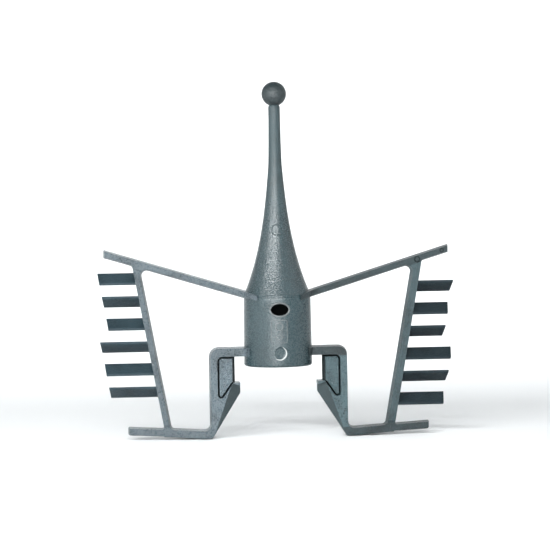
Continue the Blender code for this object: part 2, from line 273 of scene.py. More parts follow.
def loft(rings, closed=False):
    """A closed body through rings of points in millimetres; a ring of one point is a pole."""
    cage = bmesh.new()
    loops = [[cage.verts.new(p) for p in ring] for ring in rings]
    pairs = list(zip(loops, loops[1:]))
    if closed:
        pairs.append((loops[-1], loops[0]))
    for low, high in pairs:
        size = max(len(low), len(high))
        for i in range(size):
            j = (i + 1) % size
            if len(low) == 1:
                cage.faces.new((low[0], high[j], high[i]))
            elif len(high) == 1:
                cage.faces.new((low[i], low[j], high[0]))
            else:
                cage.faces.new((low[i], low[j], high[j], high[i]))
    if not closed:
        for ring in (loops[0], loops[-1]):
            if len(ring) > 2:
                cage.faces.new(ring)
    bmesh.ops.recalc_face_normals(cage, faces=cage.faces)
    return cage


def plate(corners, half, draft=DRAFT, edge=EDGE):
    """An outline thickened along Y with drafted sides and rounded front and back edges."""
    rings = []
    for inset, y in draft_levels(half, draft, edge):
        rings.append([Vector((p.x, y, p.y)) for p in inset_outline(corners, inset)])
    cage = loft(rings)
    caps = [face for face in cage.faces if len(face.verts) > 4]
    bmesh.ops.triangulate(cage, faces=caps)
    return cage


def everything(cage):
    """All the geometry of a mesh, as bmesh operators want it."""
    return cage.verts[:] + cage.edges[:] + cage.faces[:]


def score(cage, place, normal):
    """Cut edges along a plane without removing anything."""
    bmesh.ops.bisect_plane(cage, geom=everything(cage), dist=1e-5, plane_co=place, plane_no=normal)


def keep_behind(cage, place, normal):
    """Slice off what lies on the normal's side of a plane and close the cut."""
    made = bmesh.ops.bisect_plane(cage, geom=everything(cage), dist=1e-5, plane_co=place,
                                  plane_no=normal, clear_outer=True)
    rim = [e for e in made["geom_cut"] if isinstance(e, bmesh.types.BMEdge) and e.is_boundary]
    bmesh.ops.holes_fill(cage, edges=rim, sides=0)


def to_object(name, cage):
    """Write a millimetre mesh to an object in metres."""
    bmesh.ops.transform(cage, matrix=Matrix.Scale(MM, 4), verts=cage.verts)
    mesh = bpy.data.meshes.new(name)
    cage.to_mesh(mesh)
    cage.free()
    obj = bpy.data.objects.new(name, mesh)
    bpy.context.scene.collection.objects.link(obj)
    return obj


def to_cage(obj):
    """Take an object back to a millimetre mesh and remove it."""
    cage = bmesh.new()
    cage.from_mesh(obj.data)
    bmesh.ops.transform(cage, matrix=Matrix.Scale(1.0 / MM, 4), verts=cage.verts)
    bpy.data.objects.remove(obj, do_unlink=True)
    return cage


def combine(cage, tool, operation="DIFFERENCE"):
    """Boolean of two millimetre meshes."""
    body, cutter = to_object("body", cage), to_object("cutter", tool)
    boolean = body.modifiers.new("Boolean", "BOOLEAN")
    boolean.operation = operation
    boolean.solver = "EXACT"
    boolean.object = cutter
    bpy.context.view_layer.update()
    graph = bpy.context.evaluated_depsgraph_get()
    mesh = bpy.data.meshes.new_from_object(body.evaluated_get(graph))
    body.modifiers.clear()
    body.data = mesh
    bpy.data.objects.remove(cutter, do_unlink=True)
    result = to_cage(body)
    bmesh.ops.remove_doubles(result, verts=result.verts, dist=1e-4)
    return result


def round_cutter(radius, place, axis, length, sides=64):
    """A round cutter along an axis, centred on a place."""
    cage = bmesh.new()
    bmesh.ops.create_cone(cage, cap_ends=True, segments=sides, depth=length,
                          radius1=radius, radius2=radius)
    turn = Vector((0.0, 0.0, 1.0)).rotation_difference(Vector(axis)).to_matrix().to_4x4()
    bmesh.ops.transform(cage, matrix=Matrix.Translation(place) @ turn, verts=cage.verts)
    return cage


def dish(radius, depth, place, turn):
    """A cutter for an ejector mark: a flat floor, turned a little, and its sloping wall."""
    slope = depth * 1.6
    rings = []
    for r, y in ((radius + slope, -depth), (radius, 0.0), (radius - slope, depth)):
        rings.append([Vector((r * math.cos(a), y, r * math.sin(a)))
                      for a in (math.radians(6.0 * i) for i in range(60))])
    cage = loft(rings)
    turned = Matrix.Translation(place) @ Matrix.Rotation(turn, 4, "Z")
    bmesh.ops.transform(cage, matrix=turned, verts=cage.verts)
    return cage


def ring_cutter(radius, place, lean, tube=0.23):
    """A cutter for a shallow round groove on a leaning front."""
    rings = []
    for i in range(40):
        a = math.radians(9.0 * i)
        ring = []
        for k in range(10):
            b = math.radians(36.0 * k)
            reach = radius + tube * math.cos(b)
            ring.append(Vector((reach * math.cos(a), tube * math.sin(b), reach * math.sin(a))))
        rings.append(ring)
    cage = loft(rings, closed=True)
    turned = Matrix.Translation(place) @ Matrix.Rotation(lean, 4, "X")
    bmesh.ops.transform(cage, matrix=turned, verts=cage.verts)
    return cage


def finish_piece(name, cage, nodes, material, sharp=16.0, inside=None):
    """Shade a mesh, give it its plastic and let it stand for its CAD nodes."""
    bmesh.ops.recalc_face_normals(cage, faces=cage.faces)
    obj = to_object(name, cage)
    obj.data.materials.append(material)
    if inside is not None:
        # Faces inside the bore get the near-black material: painted shade.
        obj.data.materials.append(inside)
        for face in obj.data.polygons:
            outward = face.normal.x * face.center.x + face.normal.y * face.center.y
            if face.center.xy.length < (BORE_R + 1.9) * MM and outward < 1e-6 and face.normal.z < 0.9:
                face.material_index = 1
    obj.data.shade_smooth()
    obj.data.set_sharp_from_angle(angle=math.radians(sharp))
    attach(obj, "root")
    if nodes:
        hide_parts(*nodes)
    return obj


# ---------------------------------------------------------------- plastic

def noise(material, scale, detail):
    """A noise pattern fixed to the object, as a socket."""
    nodes, links = material.node_tree.nodes, material.node_tree.links
    node = nodes.new("ShaderNodeTexNoise")
    node.inputs["Scale"].default_value = scale
    node.inputs["Detail"].default_value = detail
    node.inputs["Roughness"].default_value = 0.55
    links.new(nodes.new("ShaderNodeTexCoord").outputs["Object"], node.inputs["Vector"])
    return node.outputs["Fac"]


def mottled_colour(material, mottle, pits, colour, spread):
    """Colour that wanders about its mean, in soft clouds and in specks."""
    nodes, links = material.node_tree.nodes, material.node_tree.links
    blend = nodes.new("ShaderNodeMath")
    blend.operation = "MULTIPLY_ADD"
    blend.inputs[1].default_value = 0.9
    links.new(pits, blend.inputs[0])
    links.new(mottle, blend.inputs[2])
    ramp = nodes.new("ShaderNodeValToRGB")
    dark, pale = ramp.color_ramp.elements
    dark.position, pale.position = 0.72, 1.0
    dark.color = tuple(c * (1.0 - spread) for c in colour) + (1.0,)
    pale.color = tuple(c * (1.0 + spread) for c in colour) + (1.0,)
    links.new(blend.outputs[0], ramp.inputs["Fac"])
    links.new(ramp.outputs["Color"], nodes["Principled BSDF"].inputs["Base Color"])


def uneven_gloss(material, pits, lowest, highest):
    """Roughness that follows the pits."""
    nodes, links = material.node_tree.nodes, material.node_tree.links
    gloss = nodes.new("ShaderNodeMapRange")
    gloss.inputs["From Min"].default_value = 0.3
    gloss.inputs["From Max"].default_value = 0.7
    gloss.inputs["To Min"].default_value = lowest
    gloss.inputs["To Max"].default_value = highest
    links.new(pits, gloss.inputs["Value"])
    links.new(gloss.outputs["Result"], nodes["Principled BSDF"].inputs["Roughness"])


def grainy_relief(material, reliefs):
    """Bumps one on another. A relief is (height socket, distance, strength)."""
    nodes, links = material.node_tree.nodes, material.node_tree.links
    last = None
    for height, distance, strength in reliefs:
        bump = nodes.new("ShaderNodeBump")
        bump.inputs["Distance"].default_value = distance
        bump.inputs["Strength"].default_value = strength
        links.new(height, bump.inputs["Height"])
        if last is not None:
            links.new(last.outputs["Normal"], bump.inputs["Normal"])
        last = bump
    links.new(last.outputs["Normal"], nodes["Principled BSDF"].inputs["Normal"])


def moulded_plastic(name, tint=1.0, grain=1.0, roughness=(0.24, 0.38), grey=GREY):
    """Grey plastic with a spark-eroded grain, faint flow mottling and uneven gloss."""
    material = bpy.data.materials.new(name)
    material.use_nodes = True
    material.node_tree.nodes["Principled BSDF"].inputs["IOR"].default_value = 1.55
    mottle = noise(material, 140.0, 4.0)
    fine = noise(material, 3600.0, 2.0)
    pits = noise(material, 2100.0, 3.0)
    colour = [c * tint for c in grey]
    mottled_colour(material, mottle, pits, colour, 0.12 + 0.12 * grain)
    uneven_gloss(material, pits, *roughness)
    grainy_relief(material, ((pits, 0.00034, 0.9 * grain), (fine, 0.00008, 0.6 * grain)))
    return material


def soften(material, level):
    """Weaken a material's reflections."""
    material.node_tree.nodes["Principled BSDF"].inputs["Specular IOR Level"].default_value = level


def dull_upwards(material, low, high, amount):
    """Roughen a material steadily between two heights."""
    nodes, links = material.node_tree.nodes, material.node_tree.links
    shader = nodes["Principled BSDF"]
    gloss = shader.inputs["Roughness"].links[0].from_socket
    apart = nodes.new("ShaderNodeSeparateXYZ")
    links.new(nodes.new("ShaderNodeTexCoord").outputs["Object"], apart.inputs["Vector"])
    climb = nodes.new("ShaderNodeMapRange")
    climb.inputs["From Min"].default_value = low * MM
    climb.inputs["From Max"].default_value = high * MM
    climb.inputs["To Max"].default_value = amount
    links.new(apart.outputs["Z"], climb.inputs["Value"])
    total = nodes.new("ShaderNodeMath")
    links.new(gloss, total.inputs[0])
    links.new(climb.outputs["Result"], total.inputs[1])
    links.new(total.outputs["Value"], shader.inputs["Roughness"])


# ---------------------------------------------------------------- hub

def revolved(profile, closed=False, seam=True):
    """A profile of (radius, z) turned round Z, with the mould's seam raised on both sides."""
    rings = []
    for r, z in profile:
        if r < 1e-6:
            rings.append([Vector((0.0, 0.0, z))])
            continue
        lift = SEAM_HEIGHT if seam and (not closed or r > BORE_R + 0.5) else 0.0
        near = min(SEAM_WIDTH / r, math.radians(5.0))
        quarter = [math.radians(10.0 + 160.0 * i / 40) for i in range(41)]
        angles = [(0.0, lift), (near, 0.0)] + [(a, 0.0) for a in quarter]
        angles += [(math.pi - near, 0.0), (math.pi, lift), (math.pi + near, 0.0)]
        angles += [(math.pi + a, 0.0) for a in quarter] + [(-near, 0.0)]
        rings.append([Vector(((r + up) * math.cos(a), (r + up) * math.sin(a), z)) for a, up in angles])
    return loft(rings, closed)


def bell_radius(z):
    """The bell's flare, steeper towards its base."""
    drop = (BELL_HIGH.z - z) / (BELL_HIGH.z - SLEEVE_HIGH.z)
    return BELL_TOP_R + 4.07 * drop + 1.28 * drop ** 2 + 4.72 * drop ** 3


def arc(cx, cz, radius, start, end, steps):
    """Profile points of an arc, in degrees."""
    points = []
    for i in range(steps + 1):
        a = math.radians(start + (end - start) * i / steps)
        points.append((cx + radius * math.cos(a), cz + radius * math.sin(a)))
    return points


def sleeve_radius(z):
    """The radius that the beads on the sleeve follow."""
    return SLEEVE_TOP_R


def surface_ring(path, tube, radius=sleeve_radius):
    """A thin bead along a closed path of (x, z) points on the hub's front."""
    rings = []
    count = len(path)
    spots = [Vector((x, -math.sqrt(radius(z) ** 2 - x * x) - 0.02, z)) for x, z in path]
    for i, spot in enumerate(spots):
        along = (spots[(i + 1) % count] - spots[i - 1]).normalized()
        out = Vector((spot.x, spot.y, 0.0)).normalized()
        across = along.cross(out).normalized()
        ring = []
        for k in range(10):
            a = math.radians(36.0 * k)
            ring.append(spot + across * tube * math.cos(a) + out * tube * 0.8 * math.sin(a))
        rings.append(ring)
    return loft(rings, closed=True)


def crescent_bead():
    """A thin raised bead on the lower right of the sleeve's ejector mark, tapering at both ends; it
    carries a painted highlight of the mark's lit wall.
    """
    centre, radius, steps = Vector((MARK_X, MARK_Z)), 2.4, 40
    rings = []
    for i in range(steps + 1):
        t = i / steps
        a = math.radians(-125.0 + 190.0 * t)
        out = Vector((math.cos(a), 0.0, math.sin(a)))
        x = centre.x + radius * out.x
        spot = Vector((x, -math.sqrt(SLEEVE_R ** 2 - x * x) + 0.02, centre.y + radius * out.z))
        tube = 0.03 + 0.27 * math.sin(math.pi * t) ** 0.8
        ring = []
        for k in range(10):
            b = math.radians(36.0 * k)
            ring.append(spot + out * tube * math.cos(b) + Vector((0.0, -0.8, 0.0)) * tube * math.sin(b))
        rings.append(ring)
    return loft(rings)


def ellipse_path(x, z, wide, high, count):
    """Points of (x, z) round an ellipse."""
    path = []
    for i in range(count):
        a = math.tau * i / count
        path.append((x + wide * math.cos(a), z + high * math.sin(a)))
    return path


def frame_path(left, right, bottom, top):
    """Closely spaced points of (x, z) round a rectangle with soft corners."""
    corners = [(left, bottom), (right, bottom), (right, top), (left, top)]
    outline = inset_outline([(*corner, 0.5, 1.0) for corner in corners], 0.0)
    path = []
    for i, here in enumerate(outline):
        after = outline[(i + 1) % len(outline)]
        pieces = max(1, round((after - here).length / 0.4))
        path += [tuple(here.lerp(after, k / pieces)) for k in range(pieces)]
    return path


def polygon_path(x, z, radius, sides):
    """Corners of (x, z) of a regular polygon and the middles of its sides."""
    corners = [Vector(place) for place in ellipse_path(x, z, radius, radius, sides)]
    path = []
    for i, here in enumerate(corners):
        path += [tuple(here), tuple(here.lerp(corners[(i + 1) % sides], 0.5))]
    return path


def sleeve_body():
    """The socket: a slight draft, a soft rim, the oval vent and an ejector mark."""
    low, high = SLEEVE_LOW.z, SLEEVE_HIGH.z
    profile = arc(SLEEVE_TOP_R - 0.25, high - 0.25, 0.25, 90.0, 0.0, 5)
    for i in range(1, 12):
        t = i / 12
        profile.append((SLEEVE_TOP_R + (SLEEVE_R - SLEEVE_TOP_R) * t, high - (high - low - 0.9) * t))
    profile += arc(SLEEVE_R - 0.9, low + 0.9, 0.9, 0.0, -90.0, 10)
    profile += arc(BORE_R + 0.4, low + 0.4, 0.4, -90.0, -180.0, 5)
    profile += [(BORE_R, high)]
    vent = round_cutter(1.0, (0.0, 0.0, 0.0), (0.0, 1.0, 0.0), 10.0, 72)
    bmesh.ops.transform(vent, matrix=Matrix.Translation((0.0, -SLEEVE_R, VENT_Z))
                        @ Matrix.Diagonal((VENT_RX, 1.0, VENT_RZ, 1.0)), verts=vent.verts)
    body = combine(revolved(profile, closed=True), vent)
    return combine(body, dish(MARK_R, 0.4, (MARK_X, -SLEEVE_R + 0.12, MARK_Z), 0.14))


def make_sleeve(material, inside, witness):
    """The socket with the raised details on its front."""
    finish_piece("drive_sleeve", sleeve_body(), ["drive_sleeve"], material, inside=inside)
    left, right, bottom, top = LABEL
    middle = (left + right) / 2.0
    beads = (
        ("vent_rim", ellipse_path(0.0, VENT_Z, VENT_RX + VENT_RIM, VENT_RZ + VENT_RIM, 72), 0.34),
        ("label_frame", frame_path(left, right, bottom, top), 0.22),
        ("label_circle", polygon_path(middle, top - 2.3, SYMBOL_R, 30), 0.26),
        ("label_lozenge", polygon_path(middle, bottom + 2.0, SYMBOL_R, 4), 0.26),
    )
    # The beads take the lighter material: painted highlight on the raised rims and marks.
    for name, path, tube in beads:
        finish_piece(name, surface_ring(path, tube), [], witness, 40.0)
    # A very light tint on the crescent bead: painted highlight.
    crescent_highlight = moulded_plastic("crescent_painted_highlight", 7.0, 0.3, (0.3, 0.36), (0.05, 0.052, 0.052))
    finish_piece("ejector_highlight_bead", crescent_bead(), [], crescent_highlight, 40.0)


def make_bell(material, inside):
    """The hollow bell above the ledge, with the ring of an ejector mark on its front."""
    base, top = SLEEVE_HIGH.z, (BELL_HIGH.z + ROD_LOW.z) / 2.0
    profile = [(0.0, top)]
    steps = 44
    for i in range(steps + 1):
        z = top + (base + BELL_SKIRT - top) * i / steps
        profile.append((bell_radius(z), z))
    profile += [(BELL_BASE_R - 0.02, base + 0.35), (BELL_BASE_R, base)]
    inner = BELL_HIGH.x - BELL_WALL
    profile += [(inner, base)]
    for i in range(1, 17):
        a = math.radians(5.0 * i)
        profile.append((inner * math.cos(a), base + (BELL_ROOF - base) * math.sin(a)))
    profile += [(0.0, BELL_ROOF)]
    bell = revolved(profile)
    path = ellipse_path(BELL_MARK_X, BELL_MARK_Z, BELL_MARK_R, BELL_MARK_R, 48)
    mark = surface_ring(path, 0.24, bell_radius)
    finish_piece("bell", combine(bell, mark), ["bell"], material, inside=inside)


def make_spire(material, tip):
    """The slim rod, flaring softly into the bell below and the ball above."""
    low, high = (BELL_HIGH.z + ROD_LOW.z) / 2.0, BALL_LOW.z - HALF_GAP
    neck_r = math.sqrt(BALL_R ** 2 - (high - BALL_Z) ** 2)
    profile = [(0.0, high), (neck_r, high)]
    for i in range(1, 7):
        t = i / 6
        profile.append((SPIRE_R + (neck_r - SPIRE_R) * (1.0 - t) ** 2, high - 1.15 * t ** 1.3))
    steps = 22
    for i in range(steps + 1):
        t = i / steps
        profile.append((SPIRE_R + (BELL_TOP_R - SPIRE_R) * t ** 2, high - 1.2 + (low - high + 1.2) * t))
    profile += [(0.0, low)]
    finish_piece("spire_rod", revolved(profile), ["spire_rod"], material)
    neck = math.degrees(math.asin((high - BALL_Z) / BALL_R))
    ball = [(0.0, BALL_Z + BALL_R)] + arc(0.0, BALL_Z, BALL_R, 87.0, neck, 36) + [(0.0, high)]
    finish_piece("ball_tip", revolved(ball), ["ball_tip"], tip)


# ---------------------------------------------------------------- wings and brackets

def frame_corners(extra):
    """The wing's bars and its bracket as one outline, anticlockwise, as (x, z, radius, inset share)."""
    half, post = ARM_HEIGHT / 2.0, POST_WIDTH / 2.0
    inward, outward = extra

    def on_arm(x, offset):
        return Vector((x, arm_z(x) + offset))

    under = (on_arm(10.0, -half), on_arm(60.0, -half))
    inner = tuple(Vector((post_x(z) - post - inward, z)) for z in (0.0, 60.0))
    outer = tuple(Vector((post_x(z) + post + outward, z)) for z in (0.0, 60.0))
    rail_top = (Vector((30.0, foot_z(30.0) + RAIL_HEIGHT)), Vector((60.0, foot_z(60.0) + RAIL_HEIGHT)))
    toe_top = (Vector((30.0, foot_z(30.0) + TOE_HEIGHT)), Vector((60.0, foot_z(60.0) + TOE_HEIGHT)))
    arm_in, arm_out = meeting(under, inner), meeting(under, outer)
    foot_in, foot_out = meeting(rail_top, inner), meeting(toe_top, outer)
    root = (ARM_ROOT_X, arm_z(ARM_ROOT_X))
    return [
        (root[0], root[1] - half, 0.4, 1.0),
        (*arm_in, 1.8, INNER_SHARE),
        (*foot_in, 1.45, 1.0),
        (FOOT_FLAT_X + 1.2, foot_z(FOOT_FLAT_X + 1.2) + RAIL_HEIGHT, 0.0, 1.0),
        (LEG_OUTER, RAIL_HEIGHT, 1.9, 1.0),
        (LEG_OUTER, HANGER_TOP, 3.6, 1.0),
        (HANGER_ROOT_X, HANGER_TOP, 0.25, 1.0),
        (HANGER_ROOT_X, HANGER_BOTTOM, 0.25, 0.35),
        (LEG_SIDE, HANGER_BOTTOM, 1.6, 0.3),
        (LEG_SIDE, NOTCH_Z, 1.1, 0.3),
        (WEB_INNER - 0.4, LEDGE_Z, 0.0, 0.3),
        (HOOK_TIP_X, LEDGE_Z, 0.3, 0.3),
        (HOOK_TIP_X, NOSE_Z, 1.4, 0.3),
        (FOOT_START_X, 0.0, 0.7, 0.6),
        (FOOT_FLAT_X, 0.0, 0.0, 0.6),
        (TOE_X, foot_z(TOE_X), 0.0, 1.0),
        (TOE_X + 0.25, foot_z(TOE_X) + 0.22, 0.0, 1.0),
        (FOOT_TIP_X, foot_z(FOOT_TIP_X) + 0.1, 0.9, 1.0),
        (FOOT_TIP_X, foot_z(FOOT_TIP_X) + TOE_HEIGHT, 0.6, 1.0),
        (*foot_out, 0.5, OUTER_SHARE),
        (*arm_out, 1.3, 1.0),
        (ARM_TIP_X, ARM_TIP_Z - half, 0.3, 1.0),
        (ARM_TIP_X, ARM_TIP_Z + half, 0.3, 1.0),
        (root[0], root[1] + half, 0.4, 1.0),
    ]


def collar_depth(x, half, fillet):
    """Half depth of a root that widens, through a fillet, into a collar round the sleeve."""
    centre = math.sqrt((COLLAR_R + fillet) ** 2 - (half + fillet) ** 2)
    if x >= centre:
        return half
    if x >= centre * COLLAR_R / (COLLAR_R + fillet):
        return half + fillet - math.sqrt(fillet ** 2 - (centre - x) ** 2)
    return math.sqrt(COLLAR_R ** 2 - x * x)


def clamp(value):
    """Hold a value between 0 and 1."""
    return min(max(value, 0.0), 1.0)


def below_arm(x, z):
    """0 on the arm, 1 a little below it."""
    return clamp((arm_z(x) - UNDER_ARM - z) / FADE)


def half_depth(x, z):
    """How deep the frame reaches from the parting plane at a place in its outline."""
    on_post = below_arm(x, z) * clamp((z - foot_z(x) - RAIL_HEIGHT - OVER_RAIL) / FADE)
    if x > POST_ZONE_X and on_post > 0.0:
        return WING_HALF + (POST_HALF - WING_HALF) * on_post
    if z > ARM_ZONE_Z:
        return collar_depth(x, WING_HALF, ARM_FILLET)
    taper = clamp((x - TAPER_START_X) / (TAPER_END_X - TAPER_START_X))
    depth = BRACKET_HALF + (WING_HALF - BRACKET_HALF) * taper
    return max(depth, collar_depth(x, BRACKET_HALF, BAR_FILLET) if z > BAR_ZONE_Z else 0.0)


def step_down(x, z):
    """The shallow step along the post's middle, where its outer half and the toe lie lower."""
    return STEP * clamp((x - post_x(z)) / STEP_WIDTH) * below_arm(x, z)


def face_tilt(x, z):
    """Distance above the centre line of the arm or the foot, none on the bracket or the post."""
    if z > arm_z(x) - ARM_HEIGHT / 2.0 - 0.1 and z > ARM_ZONE_Z:
        return z - arm_z(x)
    if x > FOOT_ZONE_X and z < foot_z(x) + RAIL_HEIGHT + 0.1:
        return z - foot_z(x) - RAIL_HEIGHT / 2.0
    return 0.0


def whole_frame(extra, tilt, marks):
    """One wing frame, right side, with its depth worked in and its roots trimmed to the hub."""
    cage = plate(frame_corners(extra), WING_HALF)
    roots = [ARM_ROOT_X + 0.8 * i for i in range(1, 13)]
    for x in roots + [TAPER_START_X, 31.0, 35.0, TAPER_END_X]:
        score(cage, (x, 0.0, 0.0), (1.0, 0.0, 0.0))
    leaning = Vector((1.0, 0.0, -POST_LEAN)).normalized()
    for shift in (0.0, STEP_WIDTH):
        score(cage, (POST_TOP_X + shift, 0.0, POST_TOP_Z), leaning)
    rising = Vector((-ARM_SLOPE, 0.0, 1.0)).normalized()
    for drop in (UNDER_ARM, UNDER_ARM + FADE):
        score(cage, (ARM_TIP_X, 0.0, ARM_TIP_Z - drop), rising)
    sloping = Vector((-FOOT_SLOPE, 0.0, 1.0)).normalized()
    for lift in (OVER_RAIL, OVER_RAIL + FADE):
        score(cage, (FOOT_FLAT_X, 0.0, RAIL_HEIGHT + lift), sloping)
    for vert in cage.verts:
        x, y, z = vert.co
        vert.co.y = y * (half_depth(x, z) - step_down(x, z) + tilt * face_tilt(x, z)) / WING_HALF
    cage = combine(cage, round_cutter(CORE_R, (0.0, 0.0, 40.0), (0.0, 0.0, 1.0), 60.0, 96))
    for face in (-1.0, 1.0):
        cage = combine(cage, chamfer_block(face))
    for spot, radius in marks:
        cage = combine(cage, ring_cutter(radius, (spot[0], -WING_HALF, spot[1]), math.atan(tilt)))
    return cage


def chamfer_block(face):
    """A block whose slanted face trims the hook's nose and ramp on one mould half."""
    start, end = CHAMFER_EDGE
    along = (end - start).normalized()
    inward = Vector((along.y, -along.x))
    edge_axis = Vector((along.x, 0.0, along.y))
    down_axis = Vector((inward.x * math.cos(CHAMFER_ANGLE), -face * math.sin(CHAMFER_ANGLE),
                        inward.y * math.cos(CHAMFER_ANGLE)))
    normal = edge_axis.cross(down_axis).normalized()
    if normal.y * face < 0.0:
        normal = -normal
    middle = (start + end) / 2.0
    origin = Vector((middle.x, face * BRACKET_HALF, middle.y))
    cage = bmesh.new()
    bmesh.ops.create_cube(cage, size=1.0)
    axes = Matrix((edge_axis, down_axis, normal)).transposed().to_4x4()
    size = Matrix.Diagonal(((end - start).length + 4.4, 26.0, 12.0, 1.0))
    place = Matrix.Translation(origin + down_axis * 12.0 + normal * 6.0)
    bmesh.ops.transform(cage, matrix=place @ axes @ size, verts=cage.verts)
    bmesh.ops.recalc_face_normals(cage, faces=cage.faces)
    return cage


def split_frame(cage):
    """Cut the whole frame into its members along planes that leave no gap."""
    up, out = Vector((0.0, 0.0, 1.0)), Vector((1.0, 0.0, 0.0))
    arm_up, foot_up = Vector((-ARM_SLOPE, 0.0, 1.0)), Vector((-FOOT_SLOPE, 0.0, 1.0))
    under_arm = ((ARM_TIP_X, 0.0, ARM_TIP_Z - ARM_HEIGHT / 2.0 - SPLIT_OFFSET), arm_up)
    over_rail = ((FOOT_FLAT_X, 0.0, RAIL_HEIGHT + SPLIT_OFFSET), foot_up)
    under_bar = ((0.0, 0.0, HANGER_BOTTOM - HALF_GAP), up)
    mid_air = ((0.0, 0.0, BETWEEN_BARS_Z), up)
    by_leg = ((LEG_SIDE, 0.0, 0.0), out)
    by_post = ((BETWEEN_UPRIGHTS_X, 0.0, 0.0), out)
    by_toe = ((TOE_X, 0.0, 0.0), out)

    def below(plane):
        return plane

    def above(plane):
        return plane[0], -plane[1]

    members = {
        "top_arm": [above(under_arm)],
        "post": [below(under_arm), above(over_rail), above(by_post)],
        "foot_rail": [below(over_rail), below(by_toe)],
        "foot_toe": [below(over_rail), above(by_toe)],
        "hanger_bar": [above(under_bar), below(mid_air), below(by_post)],
        "hanger_leg": [below(under_bar), above(over_rail), above(by_leg), below(by_post)],
        "catch_hook": [below(under_bar), above(over_rail), below(by_leg)],
    }
    parts = {}
    for name, planes in members.items():
        part = cage.copy()
        for place, normal in planes:
            keep_behind(part, place, normal)
        parts[name] = part
    cage.free()
    return parts


def web_corners(gap, tuck):
    """The bracket's panel, held off its surround by a gap, or let into it by a negative one."""
    slope = (LEDGE_Z - NOTCH_Z) / (LEG_INNER - WEB_INNER + 0.25)
    side = LEG_SIDE - gap
    reach = gap * math.sqrt(1.0 + 1.0 / slope ** 2)
    foot = NOTCH_Z + slope * gap + reach * slope
    inner = WEB_INNER - 1.1
    shelf = LEG_SIDE + reach - (LEDGE_Z + 0.05 - NOTCH_Z) / slope
    return [
        (inner, LEDGE_Z + 0.05 - tuck, 0.0, 0.0),
        (shelf, LEDGE_Z + 0.05 - tuck, 0.0, 0.45),
        (side, foot, 0.7, 0.45),
        (side, HANGER_BOTTOM - gap, 1.25, 0.4),
        (inner, HANGER_BOTTOM - gap, 0.0, 2.3),
    ]


def slanted(face):
    """True of the slanted faces on the bracket's inner side."""
    return abs(face.normal.z) > 0.12 and 0.4 < abs(face.normal.y) < 0.95


def in_ring(face):
    """True of the walls of the round marks on the front of an arm."""
    x, z = abs(face.center.x) / MM, face.center.z / MM
    near = min(math.hypot(x - spot[0], z - spot[1]) for spot, _ in ROUND_MARKS)
    return near < 1.2 and face.normal.y < 0.0 and abs(face.normal.y) < 0.97


def paint_shade_on_faces(obj, material, chosen):
    """Paint shade on some faces of a piece with a rougher, darker material."""
    obj.data.materials.append(material)
    last = len(obj.data.materials) - 1
    for face in obj.data.polygons:
        if chosen(face):
            face.material_index = last


def make_web(tag, side, material, inside, shade):
    """The recessed panel with the thin floor of its groove."""
    panel = plate(web_corners(GROOVE - 0.25, 0.0), WEB_HALF, 0.4, 0.15)
    floor = plate(web_corners(-0.3, 0.3), 1.1, 0.02, 0.02)
    web = combine(panel, floor, "UNION")
    obj = finish_piece(f"{tag}_hanger_web", mirrored(web, side), [f"{tag}_hanger_web"], material)
    obj.data.materials.append(inside)
    obj.data.materials.append(shade)
    for face in obj.data.polygons:
        # The groove's floor: near-black painted shade.
        if abs(face.normal.y) > 0.9 and abs(face.center.y) < WEB_HALF * 0.5 * MM:
            face.material_index = 1
        # The panel's inner side: dark painted shade.
        elif face.normal.x * side < -0.4 and abs(face.center.y) < (WEB_HALF - 0.2) * MM:
            face.material_index = 2


def mirrored(cage, side):
    """The mesh for its side of the whisk."""
    if side < 0.0:
        bmesh.ops.transform(cage, matrix=Matrix.Diagonal((-1.0, 1.0, 1.0, 1.0)), verts=cage.verts)
        bmesh.ops.reverse_faces(cage, faces=cage.faces)
    return cage


def make_tine(tag, side, number, material):
    """A pitched blade with soft edges, sunk into the post at its root."""
    low, high = cad(f"{tag}_tine_{number}")
    middle, rise = (low.z + high.z) / 2.0, high.z - low.z - TINE_EDGE
    reach = max(abs(low.x), abs(high.x)) - post_x(high.z)
    front_high = (number % 2 == 0) == (tag == "left")
    lean = rise if front_high else -rise
    edge = TINE_EDGE / 2.0
    corners = [(-TINE_HALF, lean / 2.0 - edge), (TINE_HALF, -lean / 2.0 - edge),
               (TINE_HALF, -lean / 2.0 + edge), (-TINE_HALF, lean / 2.0 + edge)]
    stations = [(TINE_ROOT, 0.0), (reach - TINE_TIP_ROUND, 0.0)]
    for i in range(1, 5):
        a = math.radians(22.5 * i)
        stations.append((reach - TINE_TIP_ROUND * (1.0 - math.sin(a)),
                         TINE_TIP_ROUND * (1.0 - math.cos(a))))
    rings = []
    for offset, inset in stations:
        ring = []
        for p in inset_outline([(*c, TINE_ROUND, 1.0) for c in corners], inset):
            z = middle + p.y
            ring.append(Vector((side * (post_x(z) + offset), p.x, z)))
        rings.append(ring)
    finish_piece(f"{tag}_tine_{number}", loft(rings), [f"{tag}_tine_{number}"], material, 24.0)


# ---------------------------------------------------------------- set, light and camera

